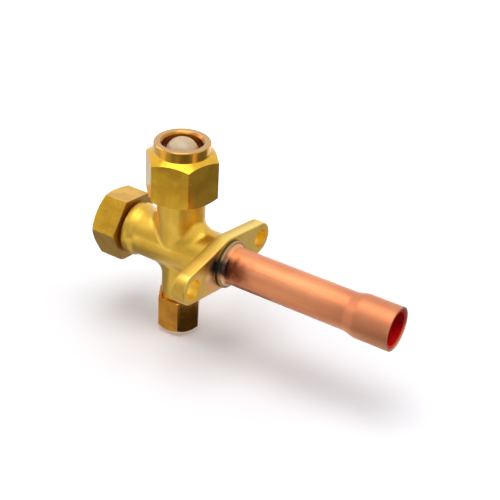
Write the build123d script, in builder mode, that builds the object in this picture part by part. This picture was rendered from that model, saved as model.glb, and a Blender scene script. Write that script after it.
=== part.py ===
from build123d import *
import os
from math import cos, radians, sin, sqrt, tan

# Three-way service valve of a split air conditioner, 5/8 inch size, in millimetres.
# The origin is the centre of the flange's mounting face. +X runs out along the copper tube,
# +Z runs up along the flare connection, and the two flange ears lie along Y.

# Clearances
thread_clearance = 0.08
sliding_clearance = 0.05
seat_clearance = 0.05
stop_clearance = 0.15
cap_mouth_gap = 0.1

# Copper tube with its end expanded to a socket
tube_od = 15.88
tube_wall = 1.0
tube_reach = 76.5
tube_insertion = 9.0
socket_bore = 16.08
socket_wall = 1.0
socket_depth = 15.0
socket_taper = 4.5
socket_taper_round = 5.0

# Flange with two ears, and the short boss that the tube enters
flange_thickness = 6.1
ear_pitch = 48.8
ear_radius = 6.8
ear_hole = 8.4
flange_waist_radius = 11.0
flange_back_round = 1.1
flange_face_round = 0.7
boss_radius = 10.2
boss_height = 2.2
boss_break = 0.5
braze_leg = 1.1

# Barrel and its outer end, which carries the stem cap
neck_offset = 24.0
barrel_radius = 10.4
collar_radius = 11.5
collar_length = 6.9
collar_land = 2.6
collar_end_chamfer = 1.0
stem_end_reach = 31.0
cap_thread_radius = 10.0
cap_thread_length = 7.6
thread_start = 0.8

# Flare neck and its thread
neck_radius = 9.9
neck_height = 26.2
flare_thread_radius = 11.11
flare_thread_length = 11.4
flare_nose_radius = 10.2
flare_nose_tip_radius = 6.6
flare_bore = 11.2

# Service port neck and its thread
port_neck_radius = 7.6
port_neck_height = 23.8
port_thread_radius = 5.56
port_thread_length = 10.8
port_nose_break = 1.1
port_bore = 6.4

# Forging rounds
neck_round = 6.0
port_round = 6.0

# Stem bore, from the seat outwards
seat_offset = 11.0
seat_hole = 10.4
chamber_radius = 6.4
chamber_reach = 6.0
stem_bore_radius = 7.5
stem_bore_depth = 14.0
ring_groove_radius = 8.3
ring_groove_width = 1.1
ring_groove_depth = 1.4

# Stem
stem_travel = 6.5
stem_thread_radius = 7.0
stem_head_length = 4.6
stem_tail_radius = 4.3
stem_tail_length = 2.6
stem_thread_runout = 1.0
stem_relief_length = 0.8
stem_relief_radius = 6.0
stem_waist_radius = 4.2
stem_cone_radius = 6.2
stem_cone_tip_radius = 4.2
stem_cone_land = 2.5
stem_key = 5.0
stem_key_depth = 6.5
o_ring_section = 1.8
o_ring_groove_width = 2.4

# Snap ring that retains the stem
snap_ring_thickness = 1.0
snap_ring_width = 1.8
snap_ring_gap_angle = 44.0
snap_ring_lug_angle = 9.0
snap_ring_lug_radius = 1.35
snap_ring_lug_hole = 1.0
snap_ring_fit = 0.1

# Hexagonal pieces: sizes across the flats, and how far each was turned as it was tightened
nut_flats = 27.0
nut_turn = 15.0
nut_base = 23.9
nut_height = 23.9
nut_collar_radius = 11.45
nut_collar_height = 4.5
nut_base_circle = 13.3
nut_hole_clearance = 0.11
nut_hole_chamfer = 1.0
stem_cap_flats = 26.6
stem_cap_turn = -7.0
stem_cap_height = 12.6
stem_cap_mouth_circle = 14.6
stem_cap_end_circle = 12.6
stem_cap_recess_radius = 5.6
stem_cap_recess_depth = 1.1
service_cap_flats = 17.0
service_cap_turn = 1.3
service_cap_height = 16.9
service_cap_mouth_circle = 9.3
service_cap_end_circle = 6.8
service_cap_recess_radius = 3.0
service_cap_recess_depth = 1.2
hex_chamfer_angle = 30.0
service_cap_chamfer_angle = 45.0
edge_break = 0.4

# Seals and closures
seal_cap_wall = 0.8
seal_cap_dome_radius = 6.8
seal_cap_brim_radius = 10.0
stem_gasket_thickness = 0.9
stem_gasket_bore = 12.6
port_gasket_thickness = 1.2
port_gasket_bore = 5.8
gasket_fit = 0.15
plug_length = 14.0
plug_wall = 1.0
plug_inset = 0.4
plug_taper = 0.35

# Access valve core
core_thread_radius = 2.6
core_recess = 1.2
core_swivel_length = 4.8
core_swivel_bore = 2.5
core_slot_width = 1.3
core_slot_depth = 1.4
core_barrel_radius = 1.75
core_barrel_length = 8.1
core_flange_radius = 2.4
core_flange_length = 1.0
core_seal_length = 2.2
core_seal_radius = 2.35
core_seal_tip_length = 1.1
core_seat_radius = 2.1
core_seat_taper = 1.0
core_seat_depth = 8.6
core_spring_bore = 2.5
core_end_wall = 1.5
core_pin_radius = 0.45
core_pin_protrusion = 0.5
core_pin_head_radius = 0.8
core_pin_head_length = 0.9
core_pin_collar_radius = 1.15
core_pin_collar_length = 0.5
core_pin_hole_clearance = 0.1
core_wire_radius = 0.18
core_spring_radius = 0.98
core_spring_turns = 7
core_cup_radius = 1.75
core_cup_wall = 0.3
core_cup_floor = 0.9
core_cup_gap = 0.3
core_plug_thickness = 0.7
core_rivet_radius = 0.7
core_rivet_length = 0.3

# Places along the barrel's axis, worked out from the sizes above
neck_x = -neck_offset
seat_x = neck_x + seat_offset
chamber_x = neck_x - chamber_reach
stem_end_x = neck_x - stem_end_reach
stem_bore_x = stem_end_x + stem_bore_depth
ring_groove_x = stem_end_x + ring_groove_depth
ring_x = ring_groove_x + (ring_groove_width - snap_ring_thickness) / 2
collar_x = stem_end_x + cap_thread_length
tube_start_x = boss_height - tube_insertion
swage_x = tube_reach - socket_depth - socket_taper
cap_mouth_x = collar_x - cap_mouth_gap
cap_seat_x = stem_end_x - stem_gasket_thickness

# The closed stem, from its outer end to its cone
stem_shoulder_x = ring_x + snap_ring_thickness + stop_clearance + stem_travel
stem_tail_x = stem_shoulder_x - stem_tail_length
stem_relief_x = stem_shoulder_x + stem_head_length
stem_thread_x = stem_relief_x + stem_relief_length
stem_waist_x = chamber_x - stem_thread_runout
stem_cone_x = seat_x - (stem_cone_radius - seat_hole / 2) - seat_clearance * sqrt(2)
stem_tip_x = stem_cone_x + stem_cone_radius - stem_cone_tip_radius
o_ring_x = stem_shoulder_x + stem_head_length / 2

# Heights along the neck's axis
flare_thread_top = neck_height + flare_thread_length
flare_nose_top = flare_thread_top + flare_nose_radius - flare_nose_tip_radius
nut_top = nut_base + nut_height
port_end_z = -(port_neck_height + port_thread_length)
port_mouth_z = -(port_neck_height + cap_mouth_gap)
port_cap_seat_z = port_end_z - port_gasket_thickness
core_end_z = port_end_z + core_recess
core_flange_z = core_end_z + core_swivel_length
core_seal_z = core_flange_z + core_flange_length
core_seat_z = core_seal_z + core_seal_length - core_seal_tip_length
core_barrel_end_z = core_flange_z + core_barrel_length
core_shoulder_z = core_barrel_end_z - core_end_wall
core_collar_z = core_flange_z - core_pin_collar_length
core_cup_floor_z = core_barrel_end_z + core_plug_thickness
core_cup_end_z = core_cup_floor_z + core_cup_floor
core_bore_top_z = core_seat_z + core_seat_depth

# Radii that pieces share
tube_radius = tube_od / 2
tube_bore_radius = tube_radius - tube_wall
socket_radius = socket_bore / 2
stem_head_radius = stem_bore_radius - sliding_clearance * 2
o_ring_outer_radius = stem_bore_radius - sliding_clearance
o_ring_inner_radius = o_ring_outer_radius - o_ring_section
nut_hole_radius = tube_radius + nut_hole_clearance
nut_thread_radius = flare_thread_radius + thread_clearance
cap_bore_radius = cap_thread_radius + thread_clearance
service_bore_radius = port_thread_radius + thread_clearance
core_pin_hole_radius = core_pin_radius + core_pin_hole_clearance
core_cup_bore_radius = core_cup_radius - core_cup_wall

axis_neck = Axis((neck_x, 0, 0), (0, 0, 1))
plane_neck = Plane(origin=(neck_x, 0, 0), x_dir=(1, 0, 0), z_dir=(0, -1, 0))


def neck_plane(height):
    """A plane square to the neck's axis at this height."""
    return Plane(origin=(neck_x, 0, height))


def barrel_plane(x):
    """A plane square to the barrel's axis at x, facing along +X, with Y to its right."""
    return Plane(origin=(x, 0, 0), x_dir=(0, 1, 0), z_dir=(1, 0, 0))


def turn(plane, axis, points, mode=Mode.ADD):
    """Turn a closed outline of straight runs about an axis."""
    with BuildSketch(plane) as outline:
        with BuildLine():
            Polyline(*points, close=True)
        make_face()
    revolve(outline.sketch, axis=axis, mode=mode)


def turn_barrel(points, mode=Mode.ADD):
    """Turn an outline of (x, radius) about the barrel's axis."""
    turn(Plane.XY, Axis.X, points, mode)


def turn_neck(points, mode=Mode.ADD):
    """Turn an outline of (radius, height) about the neck's axis."""
    turn(plane_neck, axis_neck, points, mode)


def hexagon_bar(plane, flats, angle, length):
    """Extrude a hexagon of this size across its flats."""
    with BuildSketch(plane) as outline:
        RegularPolygon(flats / 2, 6, major_radius=False, rotation=angle)
    extrude(outline.sketch, amount=length)


def chamfered_ends(flats, start, start_circle, end, end_circle, end_angle):
    """Half outline (radius, place) that chamfers the two ends of a hexagon."""
    start_slope = tan(radians(hex_chamfer_angle))
    end_slope = tan(radians(end_angle))
    outside = flats / sqrt(3) + 1
    way = 1 if end > start else -1
    return [
        (0, start),
        (start_circle, start),
        (outside, start + way * (outside - start_circle) * start_slope),
        (outside, end - way * (outside - end_circle) * end_slope),
        (end_circle, end),
        (0, end),
    ]


def flare_cone_height(radius, offset):
    """Height of the 45 degree flare cone at a radius, moved out by an offset square to it."""
    return flare_thread_top + flare_nose_radius - radius + offset * sqrt(2)


def finish(piece, name):
    """Name a piece and write it to its own file."""
    piece.part.label = name
    export_step(piece.part, f"parts/{name}.step")


os.makedirs("parts", exist_ok=True)

# Body, forged in one piece, then turned and bored
with BuildPart() as valve_body:
    turn_barrel(
        [
            (collar_x, 0),
            (collar_x, barrel_radius),
            (-flange_thickness / 2, barrel_radius),
            (-flange_thickness / 2, 0),
        ]
    )
    with BuildSketch(neck_plane(0)):
        Circle(neck_radius)
    extrude(amount=neck_height)
    with BuildSketch(neck_plane(0)):
        Circle(port_neck_radius)
    extrude(amount=-port_neck_height)
    saddles = valve_body.edges().filter_by(GeomType.BSPLINE)
    fillet(saddles.filter_by(lambda edge: edge.center().Z > 0), radius=neck_round)
    saddles = valve_body.edges().filter_by(GeomType.BSPLINE)
    port_saddle = saddles.filter_by(lambda edge: edge.center().Z < -port_neck_radius / 2)
    fillet(port_saddle, radius=port_round)

    # Collar round the barrel's outer end, which runs out softly into the barrel
    with BuildSketch(Plane.XY):
        with BuildLine():
            land_end = (collar_x + collar_land, collar_radius)
            runout = (collar_x + collar_length, barrel_radius)
            Polyline(
                runout,
                (collar_x + collar_length, 0),
                (collar_x, 0),
                (collar_x, collar_radius - collar_end_chamfer),
                (collar_x + collar_end_chamfer, collar_radius),
                land_end,
            )
            Spline(land_end, runout, tangents=((1, 0), (1, 0)))
        make_face()
    revolve(axis=Axis.X)

    # Flange: two ears joined to the waist by straight sides
    with BuildPart(mode=Mode.PRIVATE) as flange:
        with BuildSketch(barrel_plane(-flange_thickness)):
            with Locations((-ear_pitch / 2, 0), (ear_pitch / 2, 0)):
                Circle(ear_radius)
            Circle(flange_waist_radius)
            make_hull()
        extrude(amount=flange_thickness)
        back_edges = flange.faces().sort_by(Axis.X)[0].edges()
        fillet(back_edges, radius=flange_back_round)
        face_edges = flange.faces().sort_by(Axis.X)[-1].edges()
        fillet(face_edges, radius=flange_face_round)
    add(flange.part)

    # Boss round the tube
    turn_barrel(
        [
            (-flange_thickness / 2, 0),
            (-flange_thickness / 2, boss_radius),
            (boss_height - boss_break, boss_radius),
            (boss_height, boss_radius - boss_break),
            (boss_height, 0),
        ]
    )

    # Threaded ends, at the threads' outer diameters
    turn_barrel(
        [
            (stem_end_x, 0),
            (stem_end_x, cap_thread_radius - thread_start),
            (stem_end_x + thread_start, cap_thread_radius),
            (collar_x, cap_thread_radius),
            (collar_x, 0),
        ]
    )
    turn_neck(
        [
            (0, neck_height),
            (flare_thread_radius - thread_start, neck_height),
            (flare_thread_radius, neck_height + thread_start),
            (flare_thread_radius, flare_thread_top - thread_start),
            (flare_nose_radius, flare_thread_top),
            (flare_nose_tip_radius, flare_nose_top),
            (0, flare_nose_top),
        ]
    )
    turn_neck(
        [
            (0, -port_neck_height),
            (port_thread_radius, -port_neck_height),
            (port_thread_radius, port_end_z + port_nose_break),
            (port_thread_radius - port_nose_break, port_end_z),
            (0, port_end_z),
        ]
    )

    # Stem bore, seat and tube socket in one line
    turn_barrel(
        [
            (stem_end_x, 0),
            (stem_end_x, stem_bore_radius + edge_break),
            (stem_end_x + edge_break, stem_bore_radius),
            (stem_bore_x, stem_bore_radius),
            (stem_bore_x, stem_thread_radius + thread_clearance),
            (chamber_x, stem_thread_radius + thread_clearance),
            (chamber_x, chamber_radius),
            (seat_x, chamber_radius),
            (seat_x, seat_hole / 2),
            (tube_start_x, seat_hole / 2),
            (tube_start_x, tube_radius + sliding_clearance),
            (boss_height, tube_radius + sliding_clearance),
            (boss_height, 0),
        ],
        Mode.SUBTRACT,
    )
    turn_barrel(
        [
            (ring_groove_x, 0),
            (ring_groove_x, ring_groove_radius),
            (ring_groove_x + ring_groove_width, ring_groove_radius),
            (ring_groove_x + ring_groove_width, 0),
        ],
        Mode.SUBTRACT,
    )

    # Flare bore, and the port bore with the core's seat
    turn_neck(
        [
            (0, 0),
            (flare_bore / 2, 0),
            (flare_bore / 2, flare_nose_top),
            (0, flare_nose_top),
        ],
        Mode.SUBTRACT,
    )
    turn_neck(
        [
            (0, 0),
            (port_bore / 2, 0),
            (port_bore / 2, core_bore_top_z),
            (core_seat_radius, core_bore_top_z),
            (core_seat_radius, core_seat_z + core_seat_taper),
            (core_thread_radius + thread_clearance, core_seat_z),
            (core_thread_radius + thread_clearance, port_end_z),
            (0, port_end_z),
        ],
        Mode.SUBTRACT,
    )

    # Bolt holes in the ears
    with BuildSketch(barrel_plane(-flange_thickness)):
        with Locations((-ear_pitch / 2, 0), (ear_pitch / 2, 0)):
            Circle(ear_hole / 2)
    extrude(amount=flange_thickness, mode=Mode.SUBTRACT)
finish(valve_body, "valve_body")

# Copper tube, its far end expanded to take a tube of its own size
with BuildPart() as copper_tube:
    turn_barrel(
        [
            (tube_start_x, tube_bore_radius),
            (tube_start_x, tube_radius),
            (swage_x, tube_radius),
            (swage_x + socket_taper, socket_radius + socket_wall),
            (tube_reach, socket_radius + socket_wall),
            (tube_reach, socket_radius),
            (swage_x + socket_taper, socket_radius),
            (swage_x, tube_bore_radius),
        ]
    )
    bends = copper_tube.edges().filter_by(GeomType.CIRCLE)
    bends = bends.filter_by_position(Axis.X, swage_x, swage_x + socket_taper)
    fillet(bends, radius=socket_taper_round)
finish(copper_tube, "copper_tube")

# Ring of braze metal in the corner between boss and tube
with BuildPart() as braze_fillet:
    with BuildSketch(Plane.XY):
        with BuildLine():
            toe = (boss_height + braze_leg, tube_radius)
            heel = (boss_height, tube_radius + braze_leg)
            RadiusArc(toe, heel, 2 * braze_leg)
            Polyline(heel, (boss_height, tube_radius), toe)
        make_face()
    revolve(axis=Axis.X)
finish(braze_fillet, "braze_fillet")

# Union nut of the flare connection
with BuildPart() as flare_nut:
    hexagon_bar(neck_plane(nut_base), nut_flats, nut_turn, nut_height)
    slope = tan(radians(hex_chamfer_angle))
    shoulder = nut_top - nut_collar_height
    outside = nut_flats / sqrt(3) + 1
    with BuildSketch(plane_neck):
        with BuildLine():
            Polyline(
                (0, nut_base),
                (nut_base_circle, nut_base),
                (outside, nut_base + (outside - nut_base_circle) * slope),
                (outside, shoulder - (outside - nut_collar_radius) * slope),
                (nut_collar_radius, shoulder),
                (nut_collar_radius, nut_top - edge_break),
                (nut_collar_radius - edge_break, nut_top),
                (0, nut_top),
                close=True,
            )
        make_face()
    revolve(axis=axis_neck, mode=Mode.INTERSECT)
    nut_cone = seal_cap_wall + 2 * seat_clearance
    turn_neck(
        [
            (0, nut_base),
            (nut_thread_radius + edge_break, nut_base),
            (nut_thread_radius, nut_base + edge_break),
            (nut_thread_radius, flare_cone_height(nut_thread_radius, nut_cone)),
            (nut_hole_radius, flare_cone_height(nut_hole_radius, nut_cone)),
            (nut_hole_radius, nut_top - nut_hole_chamfer),
            (nut_hole_radius + nut_hole_chamfer, nut_top),
            (0, nut_top),
        ],
        Mode.SUBTRACT,
    )
finish(flare_nut, "flare_nut")

# Seal cap between the flare cone and the nut, its dome standing in the nut's hole
with BuildPart() as flare_seal_cap:
    dome_z = flare_cone_height(seal_cap_dome_radius, seat_clearance + seal_cap_wall)
    dome_bore = seal_cap_dome_radius - seal_cap_wall
    with BuildSketch(plane_neck):
        with BuildLine():
            CenterArc((0, dome_z), seal_cap_dome_radius, 0, 90)
            Line((0, dome_z + seal_cap_dome_radius), (0, dome_z + dome_bore))
            CenterArc((0, dome_z), dome_bore, 0, 90)
            Polyline(
                (dome_bore, dome_z),
                (dome_bore, flare_cone_height(dome_bore, seat_clearance)),
                (seal_cap_brim_radius, flare_cone_height(seal_cap_brim_radius, seat_clearance)),
                (
                    seal_cap_brim_radius,
                    flare_cone_height(seal_cap_brim_radius, seat_clearance + seal_cap_wall),
                ),
                (seal_cap_dome_radius, dome_z),
            )
        make_face()
    revolve(axis=axis_neck)
finish(flare_seal_cap, "flare_seal_cap")

# Stem, screwed fully in
with BuildPart() as valve_stem:
    turn_barrel(
        [
            (stem_tail_x, 0),
            (stem_tail_x, stem_tail_radius - edge_break),
            (stem_tail_x + edge_break, stem_tail_radius),
            (stem_shoulder_x, stem_tail_radius),
            (stem_shoulder_x, stem_head_radius),
            (o_ring_x - o_ring_groove_width / 2, stem_head_radius),
            (o_ring_x - o_ring_groove_width / 2, o_ring_inner_radius - sliding_clearance),
            (o_ring_x + o_ring_groove_width / 2, o_ring_inner_radius - sliding_clearance),
            (o_ring_x + o_ring_groove_width / 2, stem_head_radius),
            (stem_relief_x, stem_head_radius),
            (stem_relief_x, stem_relief_radius),
            (stem_thread_x, stem_relief_radius),
            (stem_thread_x, stem_thread_radius),
            (stem_waist_x - edge_break, stem_thread_radius),
            (stem_waist_x, stem_thread_radius - edge_break),
            (stem_waist_x, stem_waist_radius),
            (stem_cone_x - stem_cone_land, stem_waist_radius),
            (stem_cone_x - stem_cone_land, stem_cone_radius),
            (stem_cone_x, stem_cone_radius),
            (stem_tip_x, stem_cone_tip_radius),
            (stem_tip_x, 0),
        ]
    )
    with BuildSketch(barrel_plane(stem_tail_x)):
        RegularPolygon(stem_key / 2, 6, major_radius=False)
    extrude(amount=stem_key_depth, mode=Mode.SUBTRACT)
finish(valve_stem, "valve_stem")

# Ring seal in the stem's groove
with BuildPart() as stem_o_ring:
    with BuildSketch(Plane.XY):
        with Locations((o_ring_x, (o_ring_outer_radius + o_ring_inner_radius) / 2)):
            Circle(o_ring_section / 2)
    revolve(axis=Axis.X)
finish(stem_o_ring, "stem_o_ring")

# Snap ring with two lugs, in its groove near the barrel's end
with BuildPart() as stem_retaining_ring:
    ring_outer = ring_groove_radius - snap_ring_fit
    ring_inner = ring_outer - snap_ring_width
    lug_place = stem_bore_radius - snap_ring_fit - snap_ring_lug_radius
    half_gap = snap_ring_gap_angle / 2
    with BuildSketch(barrel_plane(ring_x)):
        Circle(ring_outer)
        Circle(ring_inner, mode=Mode.SUBTRACT)
        with BuildLine():
            far = 2 * ring_outer
            side = far * tan(radians(half_gap))
            Polyline((0, 0), (side, far), (-side, far), close=True)
        make_face(mode=Mode.SUBTRACT)
        lug_angle = half_gap + snap_ring_lug_angle
        with PolarLocations(lug_place, 2, start_angle=90 - lug_angle, angular_range=4 * lug_angle):
            Circle(snap_ring_lug_radius)
            Circle(snap_ring_lug_hole / 2, mode=Mode.SUBTRACT)
    extrude(amount=snap_ring_thickness)
finish(stem_retaining_ring, "stem_retaining_ring")

# Cap over the stem's end
with BuildPart() as stem_cap:
    hexagon_bar(barrel_plane(cap_mouth_x), stem_cap_flats, stem_cap_turn, -stem_cap_height)
    cap_end_x = cap_mouth_x - stem_cap_height
    outline = chamfered_ends(
        stem_cap_flats,
        cap_mouth_x,
        stem_cap_mouth_circle,
        cap_end_x,
        stem_cap_end_circle,
        hex_chamfer_angle,
    )
    turn_barrel([(x, radius) for radius, x in outline], Mode.INTERSECT)
    turn_barrel(
        [
            (cap_mouth_x, 0),
            (cap_mouth_x, cap_bore_radius + edge_break),
            (cap_mouth_x - edge_break, cap_bore_radius),
            (cap_seat_x, cap_bore_radius),
            (cap_seat_x, stem_cap_recess_radius),
            (cap_seat_x - stem_cap_recess_depth, stem_cap_recess_radius),
            (cap_seat_x - stem_cap_recess_depth, 0),
        ],
        Mode.SUBTRACT,
    )
finish(stem_cap, "stem_cap")

# Flat washer in the stem cap
with BuildPart() as stem_cap_gasket:
    with BuildSketch(barrel_plane(stem_end_x)):
        Circle(cap_bore_radius - gasket_fit)
        Circle(stem_gasket_bore / 2, mode=Mode.SUBTRACT)
    extrude(amount=-stem_gasket_thickness)
finish(stem_cap_gasket, "stem_cap_gasket")

# Cap on the service port
with BuildPart() as service_cap:
    hexagon_bar(
        neck_plane(port_mouth_z), service_cap_flats, service_cap_turn, -service_cap_height
    )
    turn_neck(
        chamfered_ends(
            service_cap_flats,
            port_mouth_z,
            service_cap_mouth_circle,
            port_mouth_z - service_cap_height,
            service_cap_end_circle,
            service_cap_chamfer_angle,
        ),
        Mode.INTERSECT,
    )
    turn_neck(
        [
            (0, port_mouth_z),
            (service_bore_radius + edge_break, port_mouth_z),
            (service_bore_radius, port_mouth_z - edge_break),
            (service_bore_radius, port_cap_seat_z),
            (service_cap_recess_radius, port_cap_seat_z),
            (service_cap_recess_radius, port_cap_seat_z - service_cap_recess_depth),
            (0, port_cap_seat_z - service_cap_recess_depth),
        ],
        Mode.SUBTRACT,
    )
finish(service_cap, "service_cap")

# Flat washer in the service cap
with BuildPart() as service_cap_gasket:
    with BuildSketch(neck_plane(port_end_z)):
        Circle(service_bore_radius - gasket_fit)
        Circle(port_gasket_bore / 2, mode=Mode.SUBTRACT)
    extrude(amount=-port_gasket_thickness)
finish(service_cap_gasket, "service_cap_gasket")

# Access valve core: the threaded swivel with its driver slot
with BuildPart() as core_swivel:
    with BuildSketch(neck_plane(core_end_z)):
        Circle(core_thread_radius)
        Circle(core_swivel_bore / 2, mode=Mode.SUBTRACT)
    extrude(amount=core_swivel_length)
    with BuildSketch(neck_plane(core_end_z)):
        Rectangle(3 * core_thread_radius, core_slot_width)
    extrude(amount=core_slot_depth, mode=Mode.SUBTRACT)
finish(core_swivel, "core_swivel")

# Barrel of the core, open to the spring and closed round the pin
with BuildPart() as core_barrel:
    turn_neck(
        [
            (core_spring_bore / 2, core_flange_z),
            (core_flange_radius, core_flange_z),
            (core_flange_radius, core_seal_z),
            (core_barrel_radius, core_seal_z),
            (core_barrel_radius, core_barrel_end_z),
            (core_pin_hole_radius, core_barrel_end_z),
            (core_pin_hole_radius, core_shoulder_z),
            (core_spring_bore / 2, core_shoulder_z),
        ]
    )
finish(core_barrel, "core_barrel")

# Ring seal that closes the barrel against its seat in the port
with BuildPart() as core_barrel_seal:
    turn_neck(
        [
            (core_barrel_radius, core_seal_z),
            (core_seal_radius, core_seal_z),
            (core_seal_radius, core_seat_z),
            (core_seat_radius - sliding_clearance, core_seal_z + core_seal_length),
            (core_barrel_radius, core_seal_z + core_seal_length),
        ]
    )
finish(core_barrel_seal, "core_barrel_seal")

# Pin of the core with its head, spring collar and riveted end
with BuildPart() as core_pin:
    turn_neck(
        [
            (0, core_end_z - core_pin_protrusion),
            (core_pin_head_radius, core_end_z - core_pin_protrusion),
            (core_pin_head_radius, core_end_z - core_pin_protrusion + core_pin_head_length),
            (core_pin_radius, core_end_z - core_pin_protrusion + core_pin_head_length),
            (core_pin_radius, core_collar_z),
            (core_pin_collar_radius, core_collar_z),
            (core_pin_collar_radius, core_flange_z),
            (core_pin_radius, core_flange_z),
            (core_pin_radius, core_cup_end_z),
            (core_rivet_radius, core_cup_end_z),
            (core_rivet_radius, core_cup_end_z + core_rivet_length),
            (0, core_cup_end_z + core_rivet_length),
        ]
    )
finish(core_pin, "core_pin")

# Spring between the pin's collar and the barrel's shoulder
with BuildPart() as core_spring:
    spring_height = core_shoulder_z - core_flange_z - 2 * core_wire_radius
    with BuildLine():
        Helix(
            pitch=spring_height / core_spring_turns,
            height=spring_height,
            radius=core_spring_radius,
            center=(neck_x, 0, core_flange_z + core_wire_radius),
        )
    start = (neck_x + core_spring_radius, 0, core_flange_z + core_wire_radius)
    with BuildSketch(Plane(origin=start, z_dir=(0, 1, 0))):
        RegularPolygon(core_wire_radius, 6)
    sweep(is_frenet=True)
finish(core_spring, "core_spring")

# Cup on the pin's inner end
with BuildPart() as core_plug_cup:
    turn_neck(
        [
            (core_pin_radius, core_cup_floor_z),
            (core_cup_bore_radius, core_cup_floor_z),
            (core_cup_bore_radius, core_barrel_end_z + core_cup_gap),
            (core_cup_radius, core_barrel_end_z + core_cup_gap),
            (core_cup_radius, core_cup_end_z),
            (core_pin_radius, core_cup_end_z),
        ]
    )
finish(core_plug_cup, "core_plug_cup")

# Rubber disc in the cup, closed on the barrel's end
with BuildPart() as core_plug_seal:
    with BuildSketch(neck_plane(core_barrel_end_z)):
        Circle(core_cup_bore_radius)
        Circle(core_pin_radius, mode=Mode.SUBTRACT)
    extrude(amount=core_plug_thickness)
finish(core_plug_seal, "core_plug_seal")

# Moulded plug in the tube's socket, a thin cup open to the outside
with BuildPart() as dust_plug:
    plug_mouth_x = tube_reach - plug_inset
    plug_end_x = plug_mouth_x - plug_length
    mouth_radius = socket_radius - sliding_clearance
    turn_barrel(
        [
            (plug_mouth_x, mouth_radius),
            (plug_end_x, mouth_radius - plug_taper),
            (plug_end_x, 0),
            (plug_end_x + plug_wall, 0),
            (plug_end_x + plug_wall, mouth_radius - plug_taper - plug_wall),
            (plug_mouth_x, mouth_radius - plug_wall),
        ]
    )
finish(dust_plug, "dust_plug")
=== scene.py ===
import logging
from dataclasses import dataclass
from enum import Enum
from math import pi, radians, tau
from typing import Callable, Optional, Sequence, Union

import bmesh
import bpy
from mathutils import Matrix, Vector


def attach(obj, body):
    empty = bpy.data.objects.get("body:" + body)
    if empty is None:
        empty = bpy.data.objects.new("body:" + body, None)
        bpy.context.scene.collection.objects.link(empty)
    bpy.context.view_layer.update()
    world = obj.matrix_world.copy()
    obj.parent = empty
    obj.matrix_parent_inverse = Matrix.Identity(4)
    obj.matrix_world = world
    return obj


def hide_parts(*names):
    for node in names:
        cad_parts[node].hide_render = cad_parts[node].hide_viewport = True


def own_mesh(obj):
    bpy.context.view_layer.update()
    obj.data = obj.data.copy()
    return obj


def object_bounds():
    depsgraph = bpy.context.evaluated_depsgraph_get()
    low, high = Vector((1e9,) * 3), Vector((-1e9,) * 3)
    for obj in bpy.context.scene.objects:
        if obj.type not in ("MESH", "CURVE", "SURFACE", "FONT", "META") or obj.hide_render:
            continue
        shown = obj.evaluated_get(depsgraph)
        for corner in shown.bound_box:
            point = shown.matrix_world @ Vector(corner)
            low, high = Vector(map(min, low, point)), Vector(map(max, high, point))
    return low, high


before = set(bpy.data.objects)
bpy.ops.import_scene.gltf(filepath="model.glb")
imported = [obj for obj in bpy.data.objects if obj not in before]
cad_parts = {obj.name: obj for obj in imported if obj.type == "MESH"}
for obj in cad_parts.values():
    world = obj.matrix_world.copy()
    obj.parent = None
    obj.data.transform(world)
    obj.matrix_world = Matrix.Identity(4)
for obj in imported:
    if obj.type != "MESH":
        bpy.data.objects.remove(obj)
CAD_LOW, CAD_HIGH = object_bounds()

# Dressed model of a three-way service valve: forged brass body, union nut, hexagonal caps and a
# brazed copper tube. Metres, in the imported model's frame: +X out along the tube, +Z up the neck.

log = logging.getLogger("service_valve")

BMesh = bmesh.types.BMesh
Material = bpy.types.Material
Object = bpy.types.Object
Socket = bpy.types.NodeSocket
RGB = tuple[float, float, float]
Place = tuple[float, float, float]
Pair = tuple[float, float]

NECK_X = -0.024
INCH = 0.0254
FLARE_PITCH = INCH / 14
PORT_PITCH = INCH / 20
CAP_PITCH = 0.0015
FLARE_START = 0.0262
PORT_START = -0.0346
CAP_START = -0.0550


class Line(Enum):
    """The two axes that the valve's pieces are turned about."""

    BARREL = "barrel"
    NECK = "neck"

    def matrix(self) -> Matrix:
        """Lay a shape that was turned about Z along this axis.

        Returns:
            The transform from the shape's own axes to the valve's.
        """
        if self is Line.BARREL:
            return Matrix(((0, 0, 1, 0), (1, 0, 0, 0), (0, 1, 0, 0), (0, 0, 0, 1)))
        return Matrix.Translation((NECK_X, 0, 0))


class Side(Enum):
    """Which wall a screw thread stands on."""

    OUTSIDE = 1
    INSIDE = -1


class Slot(Enum):
    """The record's material slots, one for each kind of new piece."""

    BRASS = "brass"
    TURNED = "brass_turned"
    COPPER = "copper"
    BRAZE = "braze"
    PALE = "pale_plastic"
    RED = "red_plastic"
    STEEL = "spring_steel"


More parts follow.
